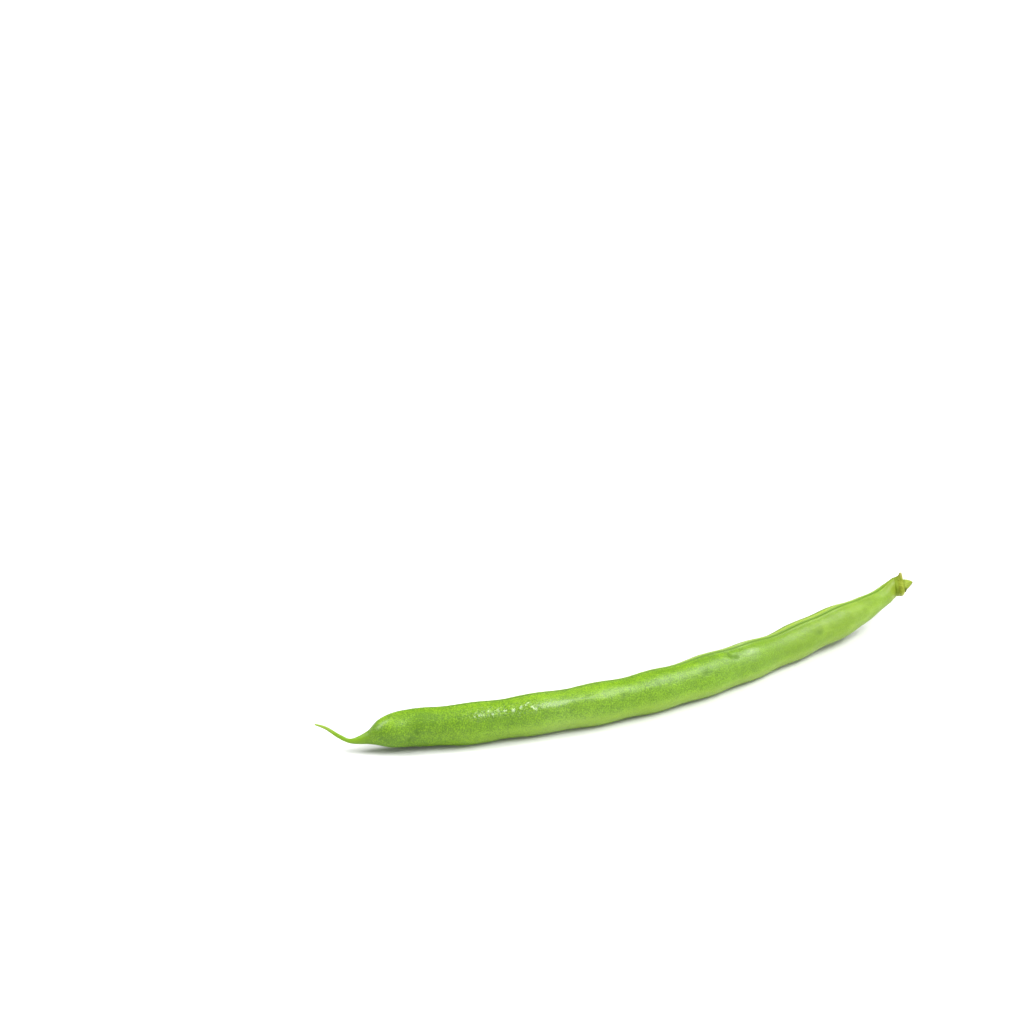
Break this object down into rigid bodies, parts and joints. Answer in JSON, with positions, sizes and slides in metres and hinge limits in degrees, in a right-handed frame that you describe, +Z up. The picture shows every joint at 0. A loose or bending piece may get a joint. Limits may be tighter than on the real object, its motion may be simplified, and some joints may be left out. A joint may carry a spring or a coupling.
{
  "type": "green bean",
  "caption": "Fresh green bean pod lying on its side, gently curved, with a thin hooked beak at one end and a torn calyx with a broken stem at the other.",
  "frame": {"origin": "on the surface the bean lies on, under the middle of its bounding box", "axes": "+Z up from the surface, +X along the bean towards the stem end, the pod bows towards -Y"},
  "size_m": [0.1454, 0.0252, 0.0098],
  "materials": {
    "pod_skin": "fresh yellow-green pod skin, finely pebbled, with a soft waxy sheen",
    "calyx_skin": "dull olive collar of withered sepals",
    "stem_fibre": "dry fibrous broken stem, matte"
  },
  "bodies": {
    "root": {"pod": "pod_skin", "calyx": "calyx_skin", "stem_stub": "stem_fibre"}
  },
  "joints": []
}
